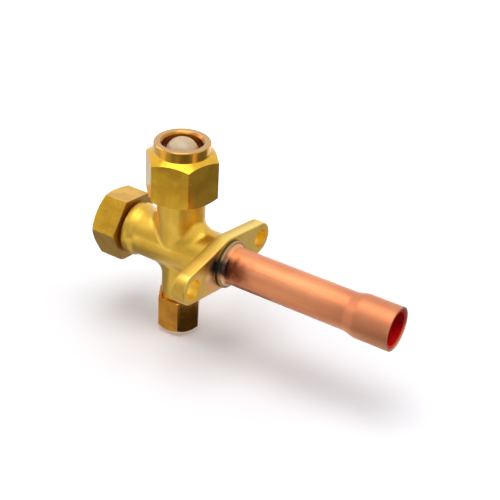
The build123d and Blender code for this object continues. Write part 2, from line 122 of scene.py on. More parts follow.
class Field:
    """A number or colour that varies over a surface: one output of a graph's node."""

    def __init__(self, graph: "Graph", socket: Socket) -> None:
        """Hold an output of one of the graph's nodes."""
        self.graph = graph
        self.socket = socket

    def __add__(self, other: "Number") -> "Field":
        """Return the sum of the two."""
        return self.graph.math("ADD", self, other)

    def __sub__(self, other: "Number") -> "Field":
        """Return this less the other."""
        return self.graph.math("SUBTRACT", self, other)

    def __mul__(self, other: "Number") -> "Field":
        """Return the product of the two."""
        return self.graph.math("MULTIPLY", self, other)

    def __truediv__(self, other: "Number") -> "Field":
        """Return this divided by the other."""
        return self.graph.math("DIVIDE", self, other)

    def __abs__(self) -> "Field":
        """Return this without its sign."""
        return self.graph.math("ABSOLUTE", self)

    def root(self) -> "Field":
        """Return the square root."""
        return self.graph.math("SQRT", self)

    def or_more(self, other: "Number") -> "Field":
        """Return the greater of the two."""
        return self.graph.math("MAXIMUM", self, other)

    def between(self, low: float, high: float) -> "Field":
        """Return a number that goes from low to high as this goes from 0 to 1."""
        return self * (high - low) + low

    def fade(self, none: float, full: float) -> "Field":
        """Step smoothly from 0 to 1 between two values, of which either may be the greater.

        Args:
            none: Where the result is 0.
            full: Where the result is 1.

        Returns:
            The step, which keeps to 0 and 1 outside the two values.
        """
        node = self.graph.nodes.new("ShaderNodeMapRange")
        node.interpolation_type = "SMOOTHSTEP"
        self.graph.feed(self, node.inputs["Value"])
        flipped = none > full
        node.inputs["From Min"].default_value = min(none, full)
        node.inputs["From Max"].default_value = max(none, full)
        node.inputs["To Min"].default_value = 1.0 if flipped else 0.0
        node.inputs["To Max"].default_value = 0.0 if flipped else 1.0
        return Field(self.graph, node.outputs["Result"])


Number = Union[float, Field]
Colour = Union[RGB, Field]


def distance(across: Field, along: Field) -> Field:
    """Return the distance from where both coordinates are 0."""
    return (across * across + along * along).root()


class Graph:
    """A material's node graph, built up call by call on Object coordinates."""

    def __init__(self, name: str) -> None:
        """Start a material with a Principled shader.

        Args:
            name: The material's name.
        """
        self.material = bpy.data.materials.new(name)
        self.material.use_nodes = True
        self.nodes = self.material.node_tree.nodes
        self.links = self.material.node_tree.links
        self.shader = self.nodes["Principled BSDF"]
        self.place = self.nodes.new("ShaderNodeTexCoord").outputs["Object"]
        split = self.nodes.new("ShaderNodeSeparateXYZ")
        self.links.new(self.place, split.inputs[0])
        self.x, self.y, self.z = (Field(self, output) for output in split.outputs)

    def feed(self, value: Union[Number, Colour], socket: Socket) -> None:
        """Link a field to an input, or set the input's own value.

        Args:
            value: A field, a number or a colour.
            socket: The input that takes it.
        """
        if isinstance(value, Field):
            self.links.new(value.socket, socket)
        elif isinstance(value, tuple):
            socket.default_value = (*value, 1.0)
        else:
            socket.default_value = value

    def set(self, **values: Union[Number, Colour]) -> None:
        """Give the shader's own inputs their values.

        Args:
            **values: Input names in lower case with underscores, and their values.
        """
        for name, value in values.items():
            wanted = name.replace("_", " ")
            socket = next(s for s in self.shader.inputs if s.name.lower() == wanted)
            self.feed(value, socket)

    def math(self, operation: str, first: Number, second: Number = 0.0) -> Field:
        """Work a sum with a Math node.

        Args:
            operation: The node's operation, such as MULTIPLY.
            first: First operand.
            second: Second operand, where the operation has one.

        Returns:
            The result.
        """
        node = self.nodes.new("ShaderNodeMath")
        node.operation = operation
        self.feed(first, node.inputs[0])
        self.feed(second, node.inputs[1])
        return Field(self, node.outputs[0])

    def noise(self, size: float, detail: float = 3.0, stretch: Place = (1, 1, 1)) -> Field:
        """Make a noise.

        Args:
            size: Size of its blotches in metres.
            detail: Octaves.
            stretch: How many times longer the blotches are along each axis.

        Returns:
            A field of 0 to 1.
        """
        mapping = self.nodes.new("ShaderNodeMapping")
        self.links.new(self.place, mapping.inputs["Vector"])
        mapping.inputs["Scale"].default_value = [1 / s for s in stretch]
        node = self.nodes.new("ShaderNodeTexNoise")
        self.links.new(mapping.outputs[0], node.inputs["Vector"])
        node.inputs["Scale"].default_value = 1 / size
        node.inputs["Detail"].default_value = detail
        return Field(self, node.outputs[0])

    def lines(self, across: Field, width: float, detail: float) -> Field:
        """Make fine lines that follow one value, such as a radius.

        Args:
            across: The value that the lines cross.
            width: Mean width of a line in metres.
            detail: Octaves.

        Returns:
            A field of 0 to 1.
        """
        node = self.nodes.new("ShaderNodeTexNoise")
        node.noise_dimensions = "1D"
        self.feed(across, node.inputs["W"])
        node.inputs["Scale"].default_value = 1 / width
        node.inputs["Detail"].default_value = detail
        return Field(self, node.outputs[0])

    def radius(self, line: Line) -> Field:
        """Measure the distance from one of the valve's axes.

        Args:
            line: The axis.

        Returns:
            The distance in metres.
        """
        if line is Line.BARREL:
            return distance(self.y, self.z)
        return distance(self.x - NECK_X, self.y)

    def tint(self, factor: Number, base: Colour, over: Colour) -> Field:
        """Lay one colour over another.

        Args:
            factor: 0 where the base shows, 1 where the other covers it.
            base: First colour.
            over: Second colour.

        Returns:
            The mixed colour.
        """
        node = self.nodes.new("ShaderNodeMix")
        node.data_type = "RGBA"
        self.feed(factor, node.inputs[0])
        self.feed(base, node.inputs[6])
        self.feed(over, node.inputs[7])
        return Field(self, node.outputs[2])

    def bump(self, *heights: tuple[Field, float]) -> None:
        """Give the shader a fine relief.

        Args:
            *heights: Pairs of a height of 0 to 1 and its full depth in metres.
        """
        normal: Optional[Socket] = None
        for height, depth in heights:
            node = self.nodes.new("ShaderNodeBump")
            node.inputs["Distance"].default_value = depth
            self.feed(height, node.inputs["Height"])
            if normal is not None:
                self.links.new(normal, node.inputs["Normal"])
            normal = node.outputs[0]
        self.links.new(normal, self.shader.inputs["Normal"])


@dataclass(frozen=True)
class ForgedBrass:
    """Satin brass as it comes from the forging die, heat-marked where the tube was brazed in.

    Each pair of sizes is a fade: where it is 0, and where it is 1. A place is a pair too, of Y
    and Z on the flange's face.

    Attributes:
        base: Bare brass.
        deep: Its darker clouds.
        light: Its light specks.
        bright: Walls of the ear holes.
        rim: Painted highlight on the front of the flange's edge.
        dull: Painted shade on the back of that edge and at the ear ends.
        soot: Black spot beside the braze.
        smoke: Root of the tube boss.
        tan: End of the tube boss.
        heat: Brass that the flame has reddened.
        blush: Paler mark beside the soot.
        roughness: Mean roughness.
        ear_place: Distance of the ear holes from the middle.
        rim_back, rim_front: Back and front of the flange's edge, along X.
        highlight_along, highlight_aside: Where the painted highlight lies, along X and outwards
            from the ear holes.
        hole_wall: Wall of an ear hole, from its middle.
        face: The flange's face, along X.
        halo_face: The face and a little of the edge, along X.
        halo_reach: Reach of the heat, from the barrel's axis.
        halo_side: The side of the face that shows it most.
        boss_foot, boss_wall: The tube boss, along X and from the barrel's axis.
        boss_smoke: The smoked part of it, along X.
        soot_place, soot_reach: Middle and radius of the soot.
        blush_place, blush_reach: Middle and radius of the paler mark.
    """

    base: RGB = (0.78, 0.480, 0.055)
    deep: RGB = (0.70, 0.405, 0.036)
    light: RGB = (0.84, 0.56, 0.10)
    bright: RGB = (0.93, 0.62, 0.055)
    rim: RGB = (0.93, 0.69, 0.15)
    dull: RGB = (0.58, 0.35, 0.045)
    soot: RGB = (0.040, 0.036, 0.034)
    smoke: RGB = (0.085, 0.070, 0.034)
    tan: RGB = (0.50, 0.33, 0.14)
    heat: RGB = (0.92, 0.44, 0.19)
    blush: RGB = (1.0, 0.60, 0.30)
    roughness: float = 0.34
    ear_place: float = 0.0244
    rim_back: Pair = (-0.0064, -0.0058)
    rim_front: Pair = (-0.0001, -0.0006)
    highlight_along: Pair = (-0.0062, -0.0012)
    highlight_aside: Pair = (0.0052, 0.0020)
    hole_wall: Pair = (0.00445, 0.00425)
    face: Pair = (-0.0004, -0.0001)
    halo_face: Pair = (-0.0008, -0.0001)
    halo_reach: Pair = (0.0215, 0.0125)
    halo_side: Pair = (0.001, -0.008)
    boss_foot: Pair = (0.00002, 0.0003)
    boss_wall: Pair = (0.0106, 0.0103)
    boss_smoke: Pair = (0.0020, 0.0012)
    soot_place: Pair = (-0.0097, 0.0034)
    soot_reach: Pair = (0.0052, 0.0014)
    blush_place: Pair = (-0.0140, 0.0006)
    blush_reach: Pair = (0.0030, 0.0008)

    def spot(self, g: Graph, middle: Pair, reach: Pair) -> Field:
        """Lay a ragged round spot on the flange's face.

        Args:
            g: The graph that holds it.
            middle: Its place.
            reach: Radius at which it has faded out, and within which it is full.

        Returns:
            1 in the spot and 0 elsewhere.
        """
        y, z = middle
        torn = (g.noise(0.0025) - 0.5) * 0.004
        spot = (distance(g.y - y, g.z - z) + torn).fade(*reach)
        return spot * g.x.fade(*self.face)

    def material(self) -> Material:
        """Build the finish.

        Returns:
            Its material.
        """
        g = Graph("forged_brass")
        cloud = g.noise(0.012)
        specks = g.noise(0.0012).fade(0.5, 0.75) * 0.3
        brass = g.tint(cloud.fade(0.38, 0.64), self.deep, self.base)
        brass = g.tint(specks, brass, self.light)

        # The flange's edge, with a painted highlight at its front and painted shade at its back and
        # ear ends, and the ear holes
        outwards = abs(g.y) - self.ear_place
        rim = g.x.fade(*self.rim_back) * g.x.fade(*self.rim_front)
        edge_highlight = g.x.fade(*self.highlight_along) * outwards.fade(*self.highlight_aside)
        hole = distance(outwards, g.z).fade(*self.hole_wall)
        brass = g.tint(rim, brass, g.tint(edge_highlight, self.dull, self.rim))
        brass = g.tint(hole, brass, self.bright)

        # Heat, smoke and soot round the braze
        around = g.radius(Line.BARREL)
        ragged = around + g.noise(0.004) * 0.004
        front = (g.y + g.z * 0.6).fade(*self.halo_side)
        halo = ragged.fade(*self.halo_reach) * g.x.fade(*self.halo_face)
        halo = halo * front.between(0.05, 0.85)
        boss = g.x.fade(*self.boss_foot) * around.fade(*self.boss_wall)
        ring = g.tint(g.x.fade(*self.boss_smoke), self.tan, self.smoke)
        blush = self.spot(g, self.blush_place, self.blush_reach)
        sooty = self.spot(g, self.soot_place, self.soot_reach)
        brass = g.tint(halo, brass, self.heat)
        brass = g.tint(boss, brass, ring)
        brass = g.tint(blush, brass, self.blush)
        brass = g.tint(sooty, brass, self.soot)

        rough = cloud.fade(0.3, 0.7).between(self.roughness + 0.05, self.roughness - 0.05)
        rough = rough + rim.or_more(halo) * 0.12 + boss * 0.25
        g.set(base_color=brass, metallic=1.0, roughness=rough)
        g.set(coat_weight=boss.or_more(sooty).between(0.35, 0.0), coat_roughness=0.3)
        g.bump((g.noise(0.007, detail=2.0), 0.00014), (g.noise(0.0006, detail=2.0), 0.000005))
        return g.material


@dataclass(frozen=True)
class TurnedBrass:
    """Semi-bright brass of the hexagonal pieces, with drawing and turning lines.

    The lines follow the distance from the axis, so they run along the flats, where the bar was
    drawn, and round the chamfers and end faces, where it was turned.

    Attributes:
        name: The material's name.
        line: The axis that the piece is turned about.
        base: Bare brass.
        deep: Its darker clouds and lines.
        stain: Its spots, and the colour of the painted shade on a collar.
        bore: Wall of the bore, and the pip at the middle of a closed end.
        rim: End face.
        roughness: Mean roughness.
        along_radius: Radius within which the lines of turning show.
        bore_radius: Radius of the bore.
        rim_place: Where the end face is, along the axis.
        collar_place: Where the collar begins, along the axis.
        blend: Width over which one zone goes over to the next.
        bore_blend: The same at the bore.
        collar_blend: The same at the collar, before and after its beginning.
    """

    name: str
    line: Line
    base: RGB = (0.80, 0.46, 0.030)
    deep: RGB = (0.68, 0.34, 0.018)
    stain: RGB = (0.46, 0.19, 0.02)
    bore: RGB = (0.42, 0.15, 0.02)
    rim: RGB = (0.60, 0.35, 0.14)
    roughness: float = 0.17
    along_radius: float = 0.0115
    bore_radius: float = 0.0
    rim_place: float = 1.0
    collar_place: float = 1.0
    blend: float = 0.0003
    bore_blend: float = 0.0008
    collar_blend: Pair = (0.0002, 0.0006)

    def material(self) -> Material:
        """Build the finish.

        Returns:
            Its material.
        """
        g = Graph(self.name)
        around = g.radius(self.line)
        axial = g.x if self.line is Line.BARREL else g.z
        before, after = self.collar_blend
        drawn = g.lines(around, width=0.00022, detail=3.0)
        broad = g.lines(around, width=0.0011, detail=2.0)
        turned = g.lines(axial, width=0.00016, detail=3.0)
        spots = g.noise(0.0028, detail=5.0).fade(0.60, 0.74)
        collar = axial.fade(self.collar_place - before, self.collar_place + after)
        end = axial.fade(self.rim_place - self.blend, self.rim_place)
        inside = around.fade(self.bore_radius + self.bore_blend, self.bore_radius)
        narrow = around.fade(self.along_radius + self.blend, self.along_radius)

        brass = g.tint(g.noise(0.007, detail=4.0).fade(0.35, 0.65), self.deep, self.base)
        brass = g.tint(spots * 0.45, brass, self.stain)
        brass = g.tint(drawn.fade(0.52, 0.75) * 0.25, brass, self.deep)
        # Painted shade on the collar, broken into clouds
        brass = g.tint(collar * g.noise(0.006).between(0.2, 0.8), brass, self.stain)
        # The end face takes its own colour; on the stem cap that dark colour is painted shade of
        # the gap before it
        brass = g.tint(end, brass, self.rim)
        brass = g.tint(inside, brass, self.bore)

        waves = g.noise(0.009, detail=2.0)
        rough = broad.between(self.roughness - 0.05, self.roughness + 0.09)
        g.set(base_color=brass, metallic=1.0, roughness=rough + (spots + end) * 0.12)
        g.set(coat_weight=0.25, coat_roughness=0.25)
        g.bump((waves, 0.00012), (drawn, 0.000012), (turned * narrow, 0.000012))
        return g.material


@dataclass(frozen=True)
class DrawnCopper:
    """Drawn copper tube, mottled below and burnt near the braze.

    Each pair of sizes is a fade: where it is 0, and where it is 1.

    Attributes:
        base: Bare copper.
        warm: Its lighter clouds.
        brown_and_shade: Its streaks and mottling, and the painted shade on top of the far end.
        burnt: Tongue of burnt copper beside the braze.
        soot: Black at the root of the tongue.
        ember: Band of heat all round.
        straw: Stains on the expanded end.
        pale: Painted light on the underside of the far end.
        roughness: Mean roughness.
        below: Height over radius of the underside.
        mottle_end: End of the mottling, along X.
        stain_start, far_start: Start of the stains and of the far end, along X.
        ember_reach: Reach of the band of heat, along X.
        burn_side: Direction in Y and Z of the side that the tongue lies on.
        burn_reach, burn_width: The tongue along X, and by how far a point faces its side.
        soot_reach, soot_width: The same for the black.
    """

    base: RGB = (0.75, 0.236, 0.078)
    warm: RGB = (0.80, 0.285, 0.105)
    brown_and_shade: RGB = (0.55, 0.150, 0.045)
    burnt: RGB = (0.13, 0.016, 0.008)
    soot: RGB = (0.012, 0.010, 0.012)
    ember: RGB = (0.88, 0.30, 0.07)
    straw: RGB = (0.78, 0.44, 0.17)
    pale: RGB = (0.92, 0.42, 0.18)
    roughness: float = 0.42
    below: Pair = (0.05, -0.75)
    mottle_end: Pair = (0.066, 0.054)
    stain_start: Pair = (0.060, 0.068)
    far_start: Pair = (0.042, 0.060)
    ember_reach: Pair = (0.011, 0.003)
    burn_reach: Pair = (0.0185, 0.006)
    burn_side: Pair = (-0.95, 0.31)
    burn_width: Pair = (0.62, 1.1)
    soot_reach: Pair = (0.0075, 0.0035)
    soot_width: Pair = (0.72, 0.98)

    def material(self) -> Material:
        """Build the finish.

        Returns:
            Its material.
        """
        g = Graph("drawn_copper")
        around = g.radius(Line.BARREL)
        streaks = g.noise(0.0016, stretch=(14, 1, 1))
        cloud = g.noise(0.011, detail=4.0, stretch=(2, 1, 1))
        fine = g.noise(0.0018, detail=4.0)
        copper = g.tint(cloud.fade(0.35, 0.65), self.base, self.warm)
        copper = g.tint(streaks.fade(0.5, 0.8) * 0.45, copper, self.brown_and_shade)

        # Mottling below, stains on the expanded end, and on the far end painted shade on top and
        # painted light underneath
        under = (g.z / around).fade(*self.below)
        mottle = under * fine.fade(0.4, 0.62).between(0.15, 0.85) * g.x.fade(*self.mottle_end)
        stain = g.x.fade(*self.stain_start) * g.noise(0.005).fade(0.5, 0.68)
        far = g.x.fade(*self.far_start)
        far_top_shade = under.between(1.0, 0.0) * cloud.between(0.3, 0.9)
        copper = g.tint(mottle, copper, self.brown_and_shade)
        copper = g.tint(stain * 0.5, copper, self.straw)
        copper = g.tint(far * far_top_shade, copper, self.brown_and_shade)
        copper = g.tint(far * under * 0.8, copper, self.pale)

        # Heat marks: an ember-coloured band all round, a dark tongue on the side towards -Y+Z
        across, up = self.burn_side
        side = (g.y * across + g.z * up) / around
        torn = (g.noise(0.004, detail=4.0) - 0.5) * 0.5
        reach = (g.x + torn * -0.006).fade(*self.burn_reach)
        tongue = (side + torn).fade(*self.burn_width) * reach
        black = g.x.fade(*self.soot_reach) * side.fade(*self.soot_width)
        copper = g.tint(g.x.fade(*self.ember_reach) * 0.55, copper, self.ember)
        copper = g.tint(tongue, copper, self.burnt)
        copper = g.tint(black * 0.85, copper, self.soot)

        rough = cloud.between(self.roughness - 0.05, self.roughness + 0.07) + tongue * 0.15
        coat = tongue.or_more(black).between(0.6, 0.0)
        g.set(base_color=copper, metallic=1.0, roughness=rough)
        g.set(coat_weight=coat, coat_ior=1.8, coat_roughness=0.6)
        g.bump((g.noise(0.010, detail=2.0), 0.00016), (streaks, 0.00002), (fine, 0.00001))
        return g.material


@dataclass(frozen=True)
class BrazeMetal:
    """Braze metal, coppery above, burnt on the side towards -Y and pale with flux below.

    Attributes:
        base: Bare metal.
        pale: Flux.
        burnt: Burnt metal.
        flux_height: Height below which the flux lies, as a fade.
        burn_side: The side that is burnt, as a fade.
        burn_height: Height above which it is burnt, as a fade.
    """

    base: RGB = (0.80, 0.38, 0.18)
    pale: RGB = (0.84, 0.66, 0.50)
    burnt: RGB = (0.045, 0.028, 0.022)
    flux_height: Pair = (-0.0015, -0.0035)
    burn_side: Pair = (0.0, -0.0075)
    burn_height: Pair = (-0.0020, 0.0005)

    def material(self) -> Material:
        """Build the finish.

        Returns:
            Its material.
        """
        g = Graph("braze_metal")
        lumps = g.noise(0.0014)
        torn = (g.noise(0.003) - 0.5) * 0.006
        height = g.z + torn
        flux = height.fade(*self.flux_height) * lumps.fade(0.35, 0.6)
        side = (g.y + g.z * 0.3 + torn).fade(*self.burn_side)
        metal = g.tint(flux, self.base, self.pale)
        metal = g.tint(side * height.fade(*self.burn_height), metal, self.burnt)
        g.set(base_color=metal, metallic=0.9, roughness=lumps.between(0.34, 0.55))
        g.bump((lumps, 0.00008))
        return g.material


@dataclass(frozen=True)
class MouldedPlastic:
    """Moulded plastic of the closures, with flow clouds and a fine die grain.

    Attributes:
        name: The material's name.
        base: Its colour.
        shade: Its clouds.
        roughness: Mean roughness.
        scatter: How much light goes through its surface.
        upper_shade: Colour of the painted shade on its upper part, if it has one.
        upper_shade_height: Height from which that painted shade lies, as a fade.
    """

    name: str
    base: RGB
    shade: RGB
    roughness: float
    scatter: float
    upper_shade: Optional[RGB] = None
    upper_shade_height: Pair = (-0.0045, -0.0010)

    def material(self) -> Material:
        """Build the finish.

        Returns:
            Its material.
        """
        g = Graph(self.name)
        cloud = g.noise(0.005)
        colour = g.tint(cloud.fade(0.35, 0.7), self.base, self.shade)
        # Painted shade: the upper part takes a darker colour
        if self.upper_shade is not None:
            colour = g.tint(g.z.fade(*self.upper_shade_height), colour, self.upper_shade)
        rough = cloud.between(self.roughness - 0.05, self.roughness + 0.07)
        g.set(base_color=colour, roughness=rough)
        g.set(subsurface_weight=self.scatter, subsurface_scale=0.0015)
        g.bump((g.noise(0.0004, detail=2.0), 0.000006), (g.noise(0.004, detail=1.0), 0.00004))
        return g.material


@dataclass(frozen=True)
class SoftSeal:
    """Rubber or gasket board, matt and slightly mottled."""

    name: str
    base: RGB
    dust: RGB
    roughness: float = 0.62

    def material(self) -> Material:
        """Build the finish.

        Returns:
            Its material.
        """
        g = Graph(self.name)
        speckle = g.noise(0.0005, detail=4.0)
        g.set(base_color=g.tint(speckle.fade(0.45, 0.75), self.base, self.dust))
        g.set(roughness=speckle.between(self.roughness - 0.06, self.roughness + 0.1))
        g.bump((speckle, 0.00001))
        return g.material


@dataclass(frozen=True)
class SpringSteel:
    """Bright spring wire and stamped steel with draw marks."""

    base: RGB = (0.56, 0.56, 0.57)
    dark: RGB = (0.36, 0.36, 0.38)
    roughness: float = 0.26

    def material(self) -> Material:
        """Build the finish.

        Returns:
            Its material.
        """
        g = Graph("spring_steel")
        scratch = g.noise(0.0003, stretch=(1, 1, 6))
        g.set(base_color=g.tint(scratch.fade(0.4, 0.75), self.base, self.dark), metallic=1.0)
        g.set(roughness=scratch.between(self.roughness - 0.06, self.roughness + 0.08))
        g.bump((scratch, 0.000004))
        return g.material


class Shape:
    """A mesh under construction, which becomes one finished piece of the valve.

    Attributes:
        same_place: Vertices closer than this are one.
        flat_angle: Faces that meet at less than this are joined up.
        sharp_angle: Faces that meet at more than this make a sharp edge.
        crease_angle: Faces that meet at more than this keep a crease.
    """

    same_place = 1e-6
    flat_angle = radians(0.6)
    sharp_angle = radians(28.0)
    crease_angle = radians(40.0)

    def __init__(self) -> None:
        """Start with an empty mesh."""
        self.mesh = bmesh.new()

    @classmethod
    def copy_of(cls, node: str) -> "Shape":
        """Copy a CAD node, merged and with its flat faces joined up.

        Args:
            node: The node's name.

        Returns:
            The copy.
        """
        shape = cls()
        shape.mesh.from_mesh(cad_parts[node].data)
        bmesh.ops.remove_doubles(shape.mesh, verts=shape.mesh.verts, dist=cls.same_place)
        bmesh.ops.dissolve_limit(
            shape.mesh, angle_limit=cls.flat_angle, verts=shape.mesh.verts, edges=shape.mesh.edges
        )
        return shape

    def join(self, other: BMesh) -> "Shape":
        """Take in another mesh, which is used up.

        Args:
            other: The other mesh.

        Returns:
            This shape.
        """
        carrier = bpy.data.meshes.new("carrier")
        other.to_mesh(carrier)
        other.free()
        self.mesh.from_mesh(carrier)
        bpy.data.meshes.remove(carrier)
        return self

    def soften(self, width: float, segments: int = 2) -> "Shape":
        """Round off the sharp edges.

        Args:
            width: How far each rounding reaches into its faces.
            segments: Facets across a rounding.

        Returns:
            This shape.
        """
        sharp = [e for e in self.mesh.edges if e.calc_face_angle(0.0) > self.sharp_angle]
        bmesh.ops.bevel(
            self.mesh, geom=sharp, offset=width, offset_type="OFFSET", segments=segments,
            profile=0.5, affect="EDGES", material=-1, clamp_overlap=True,
        )
        return self

    def move(self, rule: Callable[[Vector], Vector]) -> None:
        """Move every vertex by a rule, which gives its new place from its old one."""
        for vertex in self.mesh.verts:
            vertex.co = rule(vertex.co)

    def piece(self, name: str, body: str, slot: Slot, finish: Material, *stands_for: str) -> Object:
        """Make the finished object.

        Args:
            name: The object's name.
            body: The CAD body that it rides on.
            slot: The record's material slot. Not used.
            finish: Its material.
            *stands_for: CAD nodes that it replaces.

        Returns:
            The object, in place.
        """
        data = bpy.data.meshes.new(name)
        self.mesh.to_mesh(data)
        self.mesh.free()
        data.polygons.foreach_set("use_smooth", [True] * len(data.polygons))
        data.set_sharp_from_angle(angle=self.crease_angle)
        data.materials.append(finish)
        thing = bpy.data.objects.new(name, data)
        bpy.context.scene.collection.objects.link(thing)
        weighted = thing.modifiers.new("even_shading", "WEIGHTED_NORMAL")
        weighted.keep_sharp = True
        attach(thing, body)
        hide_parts(*stands_for)
        return thing


@dataclass(frozen=True)
class ScrewThread:
    """A screw thread as a right-handed helical ridge, which runs out smoothly at both ends.

    Attributes:
        line: The axis that it winds round.
        side: The wall that it stands on.
        wall: Radius of that wall, the thread's root.
        crest: Radius of its crest.
        start: Where it begins along the axis.
        end: Where it ends.
        pitch: Advance in one turn.
        phase: Share of a pitch by which it is set on, so that it lies between another's turns.
        steps: Facets in a turn.
        crest_share: Width of its crest as a share of the pitch.
        root_share: Width of its root as a share of the pitch.
        sunk: How far its root reaches into the wall.
        end_play: How far past its ends a vertex of the plain end may lie.
        crest_play: How far outside its crest.
    """

    line: Line
    side: Side
    wall: float
    crest: float
    start: float
    end: float
    pitch: float
    phase: float = 0.0
    steps: int = 48
    crest_share: float = 0.12
    root_share: float = 0.84
    sunk: float = 0.00004
    end_play: float = 1e-5
    crest_play: float = 1e-4

    def ridge(self) -> BMesh:
        """Spin the ridge from its section.

        Returns:
            The ridge as a closed mesh.
        """
        ridge = bmesh.new()
        buried = self.wall - self.side.value * self.sunk
        section = [
            (buried, -self.root_share / 2),
            (self.crest, -self.crest_share / 2),
            (self.crest, self.crest_share / 2),
            (buried, self.root_share / 2),
        ]
        turns = int((self.end - self.start) / self.pitch - self.root_share)
        low = self.start + self.pitch * (0.5 + self.phase)
        corners = [ridge.verts.new((r, 0, low + share * self.pitch)) for r, share in section]
        face = ridge.faces.new(corners)
        bmesh.ops.spin(
            ridge, geom=[face, *face.edges, *corners], cent=(0, 0, 0), axis=(0, 0, 1),
            dvec=(0, 0, self.pitch / self.steps), angle=tau * turns, steps=self.steps * turns,
        )

        # Within a pitch of either end, the ridge sinks into the wall
        top = low + self.pitch * (turns + 0.5)
        for vertex in ridge.verts:
            place = vertex.co.z
            near = min(place - low + self.pitch / 2, top - place) / self.pitch
            share = max(0.0, min(1.0, near))
            radius = vertex.co.xy.length
            wanted = buried + (radius - buried) * share
            vertex.co.xy *= wanted / radius
        bmesh.ops.recalc_face_normals(ridge, faces=ridge.faces)
        ridge.transform(self.line.matrix())
        return ridge

    def draw_in(self, place: Vector) -> Vector:
        """Draw a vertex of the CAD's plain threaded end in to the thread's root.

        Args:
            place: A vertex of the body.

        Returns:
            Its new place, or the old one if it isn't on the threaded end.
        """
        local = self.line.matrix().inverted() @ place
        along = self.start - self.end_play < local.z < self.end + self.end_play
        if along and self.wall < local.xy.length < self.crest + self.crest_play:
            local.xy *= self.wall / local.xy.length
        return self.line.matrix() @ local


@dataclass(frozen=True)
class ForgedBody:
    """The brass forging with its three threaded ends."""

    edge: float = 0.00022
    brass: ForgedBrass = ForgedBrass()
    threads: tuple[ScrewThread, ...] = (
        ScrewThread(
            Line.NECK, Side.OUTSIDE, wall=0.01003, crest=0.01111,
            start=FLARE_START, end=0.0376, pitch=FLARE_PITCH,
        ),
        ScrewThread(
            Line.BARREL, Side.OUTSIDE, wall=0.00908, crest=0.0100,
            start=CAP_START, end=-0.0474, pitch=CAP_PITCH,
        ),
        ScrewThread(
            Line.NECK, Side.OUTSIDE, wall=0.00478, crest=0.00556,
            start=PORT_START, end=-0.0238, pitch=PORT_PITCH,
        ),
    )

    def build(self) -> list[Object]:
        """Build the body and its threads.

        Returns:
            The body.
        """
        shape = Shape.copy_of("valve_body")
        for thread in self.threads:
            shape.move(thread.draw_in)
        shape.soften(self.edge)
        for thread in self.threads:
            shape.join(thread.ridge())
        finish = self.brass.material()
        return [shape.piece("forged_body", "valve", Slot.BRASS, finish, "valve_body")]


@dataclass(frozen=True)
class HexPiece:
    """A hexagonal piece that screws on: the union nut or one of the caps.

    Attributes:
        node: The CAD node that it replaces, which has its body's name.
        name: The new piece's name.
        edge: Width of the rounding of its edges.
        thread: The thread inside.
        brass: Its finish.
    """

    node: str
    name: str
    edge: float
    thread: ScrewThread
    brass: TurnedBrass

    def build(self) -> Object:
        """Build the piece with its inside thread.

        Returns:
            The piece.
        """
        shape = Shape.copy_of(self.node).soften(self.edge, segments=3).join(self.thread.ridge())
        return shape.piece(self.name, self.node, Slot.TURNED, self.brass.material(), self.node)


@dataclass(frozen=True)
class FlareUnion:
    """The union nut and the moulded cap that it holds on the flare cone."""

    cap_edge: float = 0.00012
    nut: HexPiece = HexPiece(
        "flare_nut",
        "union_nut",
        edge=0.0003,
        thread=ScrewThread(
            Line.NECK, Side.INSIDE, wall=0.01119, crest=0.01020,
            start=FLARE_START - FLARE_PITCH, end=0.0369, pitch=FLARE_PITCH, phase=0.5,
        ),
        brass=TurnedBrass(
            "union_nut_brass", Line.NECK,
            bore_radius=0.0083, rim_place=0.0478, collar_place=0.0433,
        ),
    )
    plastic: MouldedPlastic = MouldedPlastic(
        "pale_moulding", base=(0.66, 0.48, 0.27), shade=(0.74, 0.60, 0.42),
        roughness=0.36, scatter=0.25,
    )

    def build(self) -> list[Object]:
        """Build the nut and the seal cap.

        Returns:
            The two.
        """
        pale = self.plastic.material()
        cap = Shape.copy_of("flare_seal_cap").soften(self.cap_edge)
        return [
            self.nut.build(),
            cap.piece("flare_plug", "flare_seal", Slot.PALE, pale, "flare_seal_cap"),
        ]


@dataclass(frozen=True)
class HexCaps:
    """The large cap over the stem's end and the small one on the service port."""

    stem: HexPiece = HexPiece(
        "stem_cap",
        "hex_stem_cap",
        edge=0.0003,
        thread=ScrewThread(
            Line.BARREL, Side.INSIDE, wall=0.01008, crest=0.00920,
            start=CAP_START + CAP_PITCH / 2, end=-0.0474, pitch=CAP_PITCH,
        ),
        # The stem cap's end face sits across a narrow gap from the body's collar, and its dark
        # colour is painted shade of that gap
        brass=TurnedBrass(
            "stem_cap_brass", Line.BARREL,
            along_radius=0.0099, rim=(0.36, 0.19, 0.035), rim_place=-0.0475,
        ),
    )
    port: HexPiece = HexPiece(
        "service_cap",
        "hex_port_cap",
        edge=0.00025,
        thread=ScrewThread(
            Line.NECK, Side.INSIDE, wall=0.00564, crest=0.00495,
            start=PORT_START + PORT_PITCH / 2, end=-0.0243, pitch=PORT_PITCH,
        ),
        # Its darker colours are painted shade: the cap sits low, close to the floor
        brass=TurnedBrass(
            "service_cap_brass", Line.NECK, base=(0.56, 0.24, 0.018), deep=(0.44, 0.16, 0.010),
            stain=(0.25, 0.10, 0.012), along_radius=0.0050,
        ),
    )

    def build(self) -> list[Object]:
        """Build both caps.

        Returns:
            The two.
        """
        return [self.stem.build(), self.port.build()]


